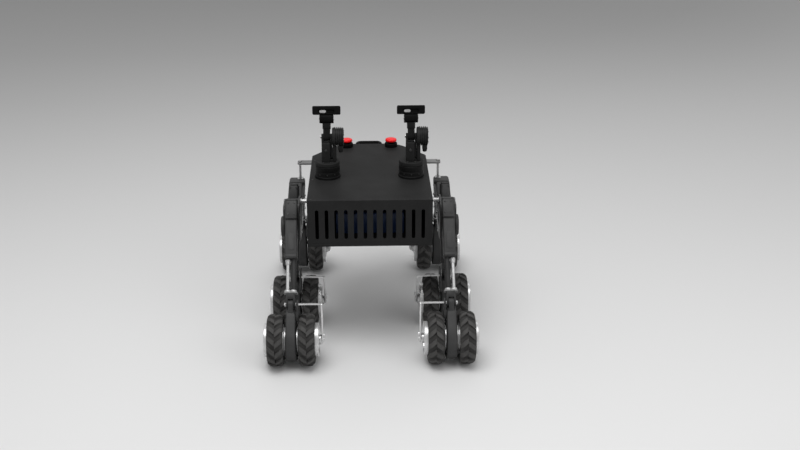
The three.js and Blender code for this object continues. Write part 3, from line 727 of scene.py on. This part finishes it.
def side_frame(label, side):
    """Two cheek plates with spacers, outer hub, pivot shaft, rear cap and the link strap."""
    body = f"{label}_rocker"
    x = side * LEG_X * MM
    span = lambda low, high: sorted((x + side * low * MM, x + side * high * MM))
    plates = bmesh.new()
    holes = [in_mm(rounded_rectangle(*window)) for window in CHEEK_WINDOWS]
    for low, high, top in ((-26.3, -20.3, 460), (20.3, 26.3, 449)):
        prism(plates, cheek_outline(top), *span(low, high), "X", holes, bevel=1 * MM)
    piece(f"{label}_cheek_plates", plates, PLATE, body, [f"{label}_side_frame"])
    cover = bmesh.new()
    prism(cover, rounded_rectangle(x, 404.7 * MM, 53.6 * MM, 42.4 * MM, 9 * MM, 8), 142 * MM, 190 * MM,
          "Y", bevel=3 * MM, segments=3)
    piece(f"{label}_rear_cover", cover, CASE, body)

    hub, bolts = bmesh.new(), bmesh.new()
    cap = ((0, 25), (34, 25), (34, 32.5), (32, 35), (27, 35), (26, 33.5), (14, 33.5), (13, 36), (0, 36))
    turned(hub, in_mm(cap, side), "X", (x, -140 * MM, 374 * MM), 64, soft=0.6 * MM)
    for k in range(8):
        a = math.radians(45 * k)
        bolt(bolts, (x + side * 33.5 * MM, (-140 + 20 * math.cos(a)) * MM,
                     (374 + 20 * math.sin(a)) * MM), (side, 0, 0), 2.6 * MM, 2 * MM)
    for y, z in SPACERS:
        turned(hub, in_mm(((0, -21), (8, -21), (8, 21), (0, 21))), "X", (x, y * MM, z * MM), 32)
        for out in (-1, 1):
            bolt(bolts, (x + out * 26.3 * MM, y * MM, z * MM), (out, 0, 0), 4.6 * MM, 3.4 * MM)
    for station, share in (("front", 0.16), ("middle", 0.2), ("rear", 0.16)):
        prefix = f"{station}_{label}"
        axis, length = JOINTS[f"{prefix}_strut"]["axis"], LEGS[station]["length"]
        y = JOINTS[f"{prefix}_spin"]["pos_m"][1] + LEGS[station]["clevis"]
        for reach in (length - share * length, length - (share + 0.13) * length):
            at = (y + axis[1] * reach, CLEVIS_Z + axis[2] * reach)
            if at[0] < -158 * MM or at[1] < 338 * MM or at[1] > 440 * MM:
                continue
            if math.hypot(at[0] + 140 * MM, at[1] - 374 * MM) < 40 * MM:
                continue
            for out in (-1, 1):
                bolt(bolts, (x + out * 26.3 * MM, *at), (out, 0, 0), 3.4 * MM, 2.8 * MM)
    piece(f"{label}_frame_hub", hub, CASE, body)

    pivot = JOINTS[f"{label}_rocker_pivot"]["pos_m"]
    shaft = bmesh.new()
    low, high = span(-63, -25)
    turned(shaft, [(0, low), (4 * MM, low), (4 * MM, high), (0, high)], "X", (0, pivot[1], pivot[2]), 32)
    low, high = span(-51, -29.8)
    turned(shaft, [(3.9 * MM, low), (6.4 * MM, low), (6.4 * MM, high), (3.9 * MM, high)], "X",
           (0, pivot[1], pivot[2]), 40)
    low, high = span(-30, -26.2)
    turned(shaft, [(3.9 * MM, low), (9 * MM, low), (9 * MM, high), (3.9 * MM, high)], "X",
           (0, pivot[1], pivot[2]), 40, soft=0.6 * MM)
    strap = span(-15.5, -8.5)
    box(shaft, strap, (164 * MM, 188 * MM), (425 * MM, 476 * MM), 1 * MM)
    box(shaft, span(-22, -2), (166 * MM, 186 * MM), (425.5 * MM, 429 * MM), 1 * MM)
    rod(shaft, 3 * MM, "Z", (sum(strap) / 2, BAR_Y, 0), 474 * MM, 491 * MM)
    piece(f"{label}_pivot_and_strap", shaft, BRIGHT, body)
    piece(f"{label}_frame_bolts", bolts, STEEL, body)


# ---- Body ---------------------------------------------------------------------------------

def body_plan(inset=0.0, rounding=6 * MM):
    """Plan of the body: square front corners, long chamfers and a rounded run at the back."""
    x, front, corner, back = 195 * MM - inset, -266 * MM + inset, 175 * MM, 308 * MM - inset
    side = [(x, front), (x, corner), (x - 66 * MM, corner + 94 * MM)]
    start, middle, end = side[-1], (x - 95 * MM, back), (x - 140 * MM, back)
    curve = []
    for k in range(1, 11):
        t = k / 10
        curve.append(tuple((1 - t) ** 2 * a + 2 * t * (1 - t) * b + t * t * c
                           for a, b, c in zip(start, middle, end)))
    right = softened([(0, front), *side], rounding, closed=False, count=5)[1:] + curve
    left = [(-a, b) for a, b in reversed(right)]
    return right + left


def vent_outline(x):
    low, high, radius = 380 * MM, 477 * MM, 5.5 * MM
    return arc(x, high - radius, radius, 0, 180, 10) + arc(x, low + radius, radius, 180, 360, 10)


def cut(obj, cutter):
    """Cuts one object out of another for good."""
    modifier = obj.modifiers.new("cut", "BOOLEAN")
    modifier.operation = "DIFFERENCE"
    modifier.solver = "EXACT"
    modifier.object = cutter
    bpy.context.view_layer.update()
    result = bpy.data.meshes.new_from_object(obj.evaluated_get(bpy.context.evaluated_depsgraph_get()))
    obj.modifiers.clear()
    old = obj.data
    obj.data = result
    bpy.data.meshes.remove(old)
    bpy.data.objects.remove(cutter)


def loose(name, bm):
    mesh = bpy.data.meshes.new(name)
    bm.to_mesh(mesh)
    bm.free()
    return linked(name, mesh)


def body_shell():
    outside = bmesh.new()
    plan = body_plan()
    prism(outside, plan, 366.3 * MM, DECK_TOP, "Z")
    rim = [e for e in outside.edges
           if all(v.co.z > DECK_TOP - 1e-6 for v in e.verts) and e.calc_face_angle(0) > 0.5]
    bmesh.ops.bevel(outside, geom=rim, offset=3.2 * MM, segments=4, profile=0.5, affect="EDGES",
                    clamp_overlap=True)
    shell = loose("shell_cut", outside)
    hollow = bmesh.new()
    prism(hollow, body_plan(WALL, 4 * MM), 360 * MM, DECK_TOP - WALL, "Z")
    cut(shell, loose("hollow", hollow))
    slots = bmesh.new()
    for i in range(12):
        prism(slots, vent_outline((i - 5.5) * 30 * MM), -275 * MM, -255 * MM, "Y")
    bar = rounded_rectangle(BAR_Y, 482 * MM, 40 * MM, 46 * MM, 4 * MM)
    pivot = arc(*PIVOT_YZ, 4.6 * MM, 0, 345, 23)
    for hole in (bar, pivot):
        prism(slots, hole, -210 * MM, -180 * MM, "X")
        prism(slots, hole, 180 * MM, 210 * MM, "X")
    for side in (-1, 1):
        stem = arc(side * BUTTON_X, BUTTON_Y, 9.6 * MM, 0, 350, 35)
        prism(slots, stem, 495 * MM, 520 * MM, "Z")
    cut(shell, loose("slots", slots))
    bm = bmesh.new()
    bm.from_mesh(shell.data)
    bpy.data.objects.remove(shell)
    bmesh.ops.remove_doubles(bm, verts=bm.verts, dist=1e-6)
    piece("body_panels", bm, PAINT, "chassis", ["body_shell"], smooth=28)


def body_details():
    collars, bolts, inside, seal = bmesh.new(), bmesh.new(), bmesh.new(), bmesh.new()
    for side in (-1, 1):
        collar = ((9.7, 506), (22, 506), (22, 520), (20.4, 522), (9.7, 522))
        turned(collars, in_mm(collar), "Z", (side * BUTTON_X, BUTTON_Y, 0), 48, soft=0.5 * MM)
        bush = ((3.9, 193), (11, 193), (11, 197.5), (4.2, 198.5))
        turned(seal, in_mm(bush, side), "X", (0, *PIVOT_YZ), 40, soft=0.6 * MM)
        for y in (-240, -120, 0, 120):
            bolt(bolts, (side * 195 * MM, y * MM, 374 * MM), (side, 0, 0), 3 * MM, 2 * MM)
        for x, y in ((184, -255), (184, -70), (184, 120), (110, 276)):
            bolt(bolts, (side * x * MM, y * MM, DECK_TOP), (0, 0, 1), 2.6 * MM, 1.4 * MM)
    for y in (146, 200):
        box(inside, (-14 * MM, 14 * MM), (y * MM, (y + 6) * MM), (472 * MM, 505.5 * MM), 1 * MM)
    piece("button_collars", collars, PLASTIC, "chassis")
    piece("pivot_bushes", seal, SEAL, "chassis")
    piece("panel_screws", bolts, DARK_STEEL, "chassis")
    piece("bar_lugs", inside, PAINT, "chassis")


def bottom_tray():
    bm = bmesh.new()
    outer, inner = body_plan(), body_plan(WALL, 4 * MM)
    prism(bm, outer, 355 * MM, 358 * MM, "Z", bevel=0.9 * MM)
    prism(bm, body_plan(0.05 * MM), 357.5 * MM, 366 * MM, "Z", [inner], bevel=0.5 * MM)
    for y in (-190, -95, 0, 95, 190):
        rib = rounded_rectangle(0, y * MM, 250 * MM, 14 * MM, 6 * MM)
        prism(bm, rib, 355.0 * MM, 355.8 * MM, "Z")
    piece("tray_pan", bm, PAINT, "chassis", ["bottom_tray"])


def battery_and_controller():
    low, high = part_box("battery_pack")
    cells, straps = bmesh.new(), bmesh.new()
    box(cells, (low.x, high.x), (low.y, high.y), (low.z, high.z - 2 * MM), 4 * MM, 3)
    for x in (-60, 60):
        box(straps, ((x - 9) * MM, (x + 9) * MM), (low.y - 0.8 * MM, high.y + 0.8 * MM),
            (low.z, high.z - 0.8 * MM), 1.5 * MM)
    piece("battery_cells", cells, WRAP, "chassis", ["battery_pack"])
    piece("battery_straps", straps, SEAL, "chassis")
    low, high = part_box("drive_controller")
    case = bmesh.new()
    box(case, (low.x, high.x), (low.y, high.y), (low.z, high.z - 12 * MM), 2 * MM)
    for k in range(16):
        x = low.x + (8 + 11.6 * k) * MM
        box(case, (x, x + 3 * MM), (low.y + 5 * MM, high.y - 5 * MM),
            (high.z - 13 * MM, high.z), 0.6 * MM)
    piece("controller_heatsink", case, BOARD, "chassis", ["drive_controller"])


def rear_handle():
    """Bent bar on two round flanges."""
    half, reach, z, wall, corner, radius = 40, 26, 503, 308.3, 14, 7
    path = [(-half, 0)] + arc(-half + corner, reach - corner, corner, 180, 90, 10)
    path += arc(half - corner, reach - corner, corner, 90, 0, 10) + [(half, 0)]
    points = [Vector((a * MM, (wall + b) * MM, z * MM)) for a, b in path]
    bm = bmesh.new()
    sides = 24
    rings = []
    for i, point in enumerate(points):
        tangent = (points[min(i + 1, len(points) - 1)] - points[max(i - 1, 0)]).normalized()
        across = tangent.cross(Vector((0, 0, 1)))
        ring = []
        for k in range(sides):
            a = 2 * math.pi * k / sides
            ring.append(bm.verts.new(point + radius * MM * (across * math.cos(a)
                                                            + Vector((0, 0, 1)) * math.sin(a))))
        rings.append(ring)
    for first, second in zip(rings, rings[1:]):
        for k in range(sides):
            j = (k + 1) % sides
            bm.faces.new((first[k], first[j], second[j], second[k]))
    bm.faces.new(rings[0])
    bm.faces.new(list(reversed(rings[-1])))
    for x in (-half, half):
        turned(bm, [(r * MM, (wall + a) * MM) for r, a in ((0, 0), (9, 0), (9, 2.5), (0, 2.5))],
               "Y", (x * MM, 0, z * MM - 4.2 * MM), 32, soft=0.6 * MM)
    bmesh.ops.recalc_face_normals(bm, faces=bm.faces)
    piece("handle_bar", bm, PLASTIC, "chassis", ["rear_handle"], smooth=40)


def differential_bar():
    """Flat bar with a slotted eye near each end, a boss amidships and the pin it rocks on."""
    eye_x = 238 * MM
    bm = bmesh.new()
    outline = rounded_rectangle(0, BAR_Y, 492 * MM, 34 * MM, 8 * MM)
    eyes = [rounded_rectangle(side * eye_x, BAR_Y, 11 * MM, 20 * MM, 5.4 * MM) for side in (-1, 1)]
    prism(bm, outline, 481 * MM, 487 * MM, "Z", eyes, bevel=1 * MM)
    boss = in_mm(((0, 159), (11, 159), (11, 193), (0, 193)))
    turned(bm, boss, "Y", (0, 0, BAR_Z), 40, soft=1 * MM)
    rod(bm, 6 * MM, "Y", (0, 0, BAR_Z), 142 * MM, 210 * MM)
    piece("cross_bar", bm, SATIN, "differential_bar", ["differential_bar"])


def stop_button(label, side):
    """Red mushroom head over a dark skirt and stem."""
    at = (side * BUTTON_X, BUTTON_Y, DECK_TOP)
    body = f"{label}_stop_button"
    head, skirt = bmesh.new(), bmesh.new()
    dome = ((0, 20), (19.2, 20), (20, 20.9), (20, 25.2), (18.8, 27.3), (14.6, 28.9), (8, 29.8), (0, 30))
    turned(head, in_mm(dome), "Z", at, 56)
    stem = ((0, -16), (8.6, -16), (8.6, 18), (17.5, 18), (18.6, 19), (18.6, 20.6), (0, 20.6))
    turned(skirt, in_mm(stem), "Z", at, 48)
    piece(f"{label}_button_head", head, RED, body, [body], smooth=50)
    piece(f"{label}_button_skirt", skirt, PLASTIC, body)


# ---- Arms ---------------------------------------------------------------------------------

def arm_base(label, x, y):
    bm = bmesh.new()
    drum = ((0, 508.3), (42, 508.3), (42, 515), (40.4, 516.6), (40.4, 529), (39.4, 530),
            (39.4, 533), (40, 534), (40, 547.5), (38.5, 549.5), (0, 549.5))
    turned(bm, in_mm(drum), "Z", (x, y, 0), 72, soft=0.5 * MM)
    bolts = bmesh.new()
    for k in range(10):
        a = math.radians(36 * k + 18)
        bolt(bolts, (x + 40.4 * MM * math.cos(a), y + 40.4 * MM * math.sin(a), 524 * MM),
             (math.cos(a), math.sin(a), 0), 2.2 * MM, 1.2 * MM)
    piece(f"{label}_base_drum", bm, BASE, "chassis", [f"{label}_arm_base"])
    piece(f"{label}_base_bolts", bolts, DARK_STEEL, "chassis")


def ribbed_motor(bm, x, y, z):
    """Motor barrel along X with cooling ribs round it."""
    profile = [(0, 17.5), (26, 17.5), (29.5, 19.5), (29.5, 24)]
    for k in range(4):
        at = 25 + 6.4 * k
        profile += [(31, at), (31, at + 3), (27, at + 3.8), (27, at + 5.8)]
    profile += [(30.2, 50.8), (30.2, 52), (27, 53.9), (0, 53.9)]
    turned(bm, in_mm(profile), "X", (x, y, z), 72)


def arm_turret(label, x, y):
    elbow = JOINTS[f"{label}_arm_elbow"]["pos_m"][2]
    body = f"{label}_arm_turret"
    bm = bmesh.new()
    table = ((0, 550), (38, 550), (39.5, 551.5), (39.5, 560.5), (37.5, 563), (0, 563))
    turned(bm, in_mm(table), "Z", (x, y, 0), 72)
    box(bm, (x - 16.6 * MM, x + 10.6 * MM), (y - 21.6 * MM, y + 21.6 * MM), (562 * MM, 627 * MM),
        3 * MM, 3)
    box(bm, (x + 18.2 * MM, x + 29.7 * MM), (y - 15.8 * MM, y + 15.8 * MM), (562 * MM, 620 * MM),
        2.5 * MM, 3)
    cheek = belt((y, 580 * MM, 22 * MM), (y, elbow, 10 * MM), 20)
    hole = arc(y, elbow, 6.7 * MM, 0, 345, 23)
    prism(bm, cheek, x - 17 * MM, x - 11.4 * MM, "X", [hole], bevel=0.8 * MM)
    far_cheek = belt((y, 580 * MM, 13 * MM), (y, elbow, 10 * MM), 20)
    prism(bm, far_cheek, x + 11.4 * MM, x + 17 * MM, "X", bevel=0.8 * MM)
    piece(f"{label}_turret_body", bm, PAINT, body, [f"{label}_arm_turret"])

    motor = bmesh.new()
    ribbed_motor(motor, x, y, elbow)
    box(motor, (x + 36 * MM, x + 52 * MM), (y - 8 * MM, y + 8 * MM),
        (elbow - 45 * MM, elbow - 27 * MM), 2 * MM)
    turned(motor, [(0, elbow - 52 * MM), (6 * MM, elbow - 52 * MM), (7 * MM, elbow - 50 * MM),
                   (7 * MM, elbow - 43 * MM), (0, elbow - 43 * MM)], "Z", (x + 44 * MM, y, 0), 32)
    piece(f"{label}_elbow_motor", motor, ARM, body, smooth=30)

    bolts = bmesh.new()
    bolt(bolts, (x - 3 * MM, y - 21.6 * MM, 602 * MM), (0, -1, 0), 4.4 * MM, 3 * MM)
    for k in range(6):
        a = math.radians(60 * k)
        bolt(bolts, (x + 53.9 * MM, y + 20 * MM * math.cos(a), elbow + 20 * MM * math.sin(a)),
             (1, 0, 0), 2.2 * MM, 1.6 * MM)
    for dx in (-12, 12):
        for dy in (-28, 28):
            bolt(bolts, (x + dx * MM, y + dy * MM, 563 * MM), (0, 0, 1), 2.6 * MM, 2.2 * MM)
    piece(f"{label}_turret_bolts", bolts, DARK_STEEL, body)


def forearm(label, place):
    body = f"{label}_arm_forearm"
    bm = bmesh.new()
    prism(bm, belt((0, 0, 13 * MM), (0, 18 * MM, 10 * MM), 16), -11 * MM, 11 * MM, "X", bevel=1.2 * MM,
          matrix=place)
    for dx in (-5, 0, 5):
        box(bm, ((dx - 1) * MM, (dx + 1) * MM), (-13.4 * MM, 13.4 * MM), (-4 * MM, 24 * MM), 0.6 * MM,
            matrix=place)
    box(bm, (-13 * MM, 13 * MM), (-11 * MM, 11 * MM), (24 * MM, 44 * MM), 2 * MM, 3, matrix=place)
    rod(bm, 6 * MM, "X", (0, 0, 0), -17 * MM, 12 * MM, matrix=place)
    piece(f"{label}_forearm_link", bm, BASE, body, [f"{label}_arm_forearm"])

    wrist = bmesh.new()
    outline = rounded_rectangle(0, 56.8 * MM, 34 * MM, 27 * MM, 9 * MM)
    prism(wrist, outline, -22.5 * MM, 22.5 * MM, "X", bevel=1.6 * MM, segments=3, matrix=place)
    for dx in (-14, 14):
        ring = rounded_rectangle(0, 56.8 * MM, 34.6 * MM, 27.4 * MM, 9.2 * MM)
        prism(wrist, ring, (dx - 1.5) * MM, (dx + 1.5) * MM, "X", bevel=0.3 * MM, matrix=place)
    piece(f"{label}_wrist_housing", wrist, PLASTIC, body)

    bolts = bmesh.new()
    nut(bolts, (-17 * MM, 0, 0), (-1, 0, 0), 6 * MM, 3 * MM, matrix=place)
    for side in (-1, 1):
        for dy in (-9, 9):
            bolt(bolts, (side * 22.5 * MM, dy * MM, 56.8 * MM), (side, 0, 0), 2.2 * MM, 1.6 * MM,
                 matrix=place)
    piece(f"{label}_forearm_bolts", bolts, STEEL, body)


def arm_head(label, place):
    body = f"{label}_arm_head"
    bm = bmesh.new()
    outline = rounded_rectangle(0, 84.5 * MM, 90 * MM, 27 * MM, 4 * MM)
    window = rounded_rectangle(0, 80.5 * MM, 52 * MM, 12 * MM, 5.9 * MM, 8)
    prism(bm, outline, -13 * MM, -8 * MM, "Y", [window], bevel=0.7 * MM, matrix=place)
    prism(bm, outline, -8.2 * MM, 13 * MM, "Y", bevel=1.6 * MM, segments=3, matrix=place)
    rod(bm, 7 * MM, "Z", (0, 0, 0), 62 * MM, 72 * MM, matrix=place)
    for k in range(7):
        x = (-30 + 10 * k) * MM
        box(bm, (x - 1.5 * MM, x + 1.5 * MM), (12.5 * MM, 13.6 * MM), (76 * MM, 93 * MM), 0.4 * MM,
            matrix=place)
    piece(f"{label}_head_bar", bm, PLASTIC, body, [f"{label}_arm_head"])
    lens = bmesh.new()
    prism(lens, rounded_rectangle(-12 * MM, 80.5 * MM, 21 * MM, 9.4 * MM, 4.6 * MM, 8), -10.4 * MM,
          -7.9 * MM, "Y", bevel=0.5 * MM, matrix=place)
    piece(f"{label}_head_window", lens, LENS, body)


def arm(label):
    joint = JOINTS[f"{label}_arm_elbow"]["pos_m"]
    axis = JOINTS[f"{label}_arm_wrist"]["axis"]
    lean = math.atan2(axis[1], axis[2])
    place = Matrix.Translation(joint) @ Matrix.Rotation(-lean, 4, "X")
    arm_base(label, joint[0], joint[1])
    arm_turret(label, joint[0], joint[1])
    forearm(label, place)
    arm_head(label, place)


# ---- Stage --------------------------------------------------------------------------------

def camera():
    """Looks 22 degrees down on the chassis from in front of its vents."""
    data = bpy.data.cameras.new("camera")
    data.lens = 50
    data.sensor_width = 36
    data.clip_end = 100
    obj = linked("camera", data)
    obj.location = (-0.0097, -3.4689, 1.7123)
    obj.rotation_euler = (math.radians(90 - 21.88), 0, math.radians(-1.83))
    bpy.context.scene.camera = obj


def area_light(name, at, size, power, target=(0, 0, 0.3)):
    data = bpy.data.lights.new(name, "AREA")
    data.shape = "RECTANGLE"
    data.size, data.size_y = size
    data.energy = power
    obj = linked(name, data)
    obj.location = at
    obj.rotation_euler = (Vector(target) - Vector(at)).to_track_quat("-Z", "Y").to_euler()


def floor_material():
    """Pale paper with painted shade: its colour darkens slowly away from the front, later on its right
    than on its left, in place of the light falling off.
    """
    material, principled = shader("pale_floor", 0.8, Specular_IOR_Level=0.1)
    tree = material.node_tree
    coordinates = tree.nodes.new("ShaderNodeTexCoord")
    split = tree.nodes.new("ShaderNodeSeparateXYZ")
    tree.links.new(coordinates.outputs["Object"], split.inputs["Vector"])
    distance = tree.nodes.new("ShaderNodeMapRange")
    distance.inputs["From Min"].default_value = -1
    distance.inputs["From Max"].default_value = 6
    link = split.outputs["X"]
    for operation, second in (("MAXIMUM", 0.0), ("POWER", 2.0), ("MULTIPLY", -0.22), ("ADD", None)):
        step = tree.nodes.new("ShaderNodeMath")
        step.operation = operation
        tree.links.new(link, step.inputs[0])
        if second is None:
            tree.links.new(split.outputs["Y"], step.inputs[1])
        else:
            step.inputs[1].default_value = second
        link = step.outputs[0]
    tree.links.new(link, distance.inputs["Value"])
    # painted shade: the grey falls from 0.73 near the front to 0.44 far off, standing in for the light's
    # fall-off
    stops = ((0.0, 0.73), (0.26, 0.64), (0.53, 0.53), (0.7, 0.48), (1.0, 0.44))
    tint = ramp(tree, distance.outputs["Result"], [(at, grey(value)) for at, value in stops])
    tree.links.new(tint.outputs["Color"], principled.inputs["Base Color"])
    return material


def stage():
    bm = bmesh.new()
    bmesh.ops.create_grid(bm, x_segments=1, y_segments=1, size=20)
    floor = loose("floor", bm)
    floor.data.materials.append(floor_material())
    floor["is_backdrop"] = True
    area_light("key", (-0.5, -0.9, 3.6), (2.6, 2.2), 78)
    area_light("fill", (2.6, -2.2, 2.3), (2.4, 2.0), 24)
    area_light("back", (0.6, 3.0, 3.0), (3.0, 1.4), 14)
    world = bpy.data.worlds.new("studio")
    bpy.context.scene.world = world
    world.use_nodes = True
    background = world.node_tree.nodes["Background"]
    background.inputs["Color"].default_value = (1, 1, 1, 1)
    background.inputs["Strength"].default_value = 0.5
    bpy.context.scene.view_settings.view_transform = "Standard"


# ---- Assembly -----------------------------------------------------------------------------

camera()
stage()
body_shell()
body_details()
bottom_tray()
battery_and_controller()
rear_handle()
differential_bar()
for name, sign in SIDES:
    side_frame(name, sign)
    stop_button(name, sign)
    arm(name)
    for place_name in STATIONS:
        leg(place_name, name, sign)

as_list = lambda bounds: [list(map(float, corner)) for corner in bounds]
{"cad": as_list(CAD_BOX), "visual": as_list(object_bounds())}
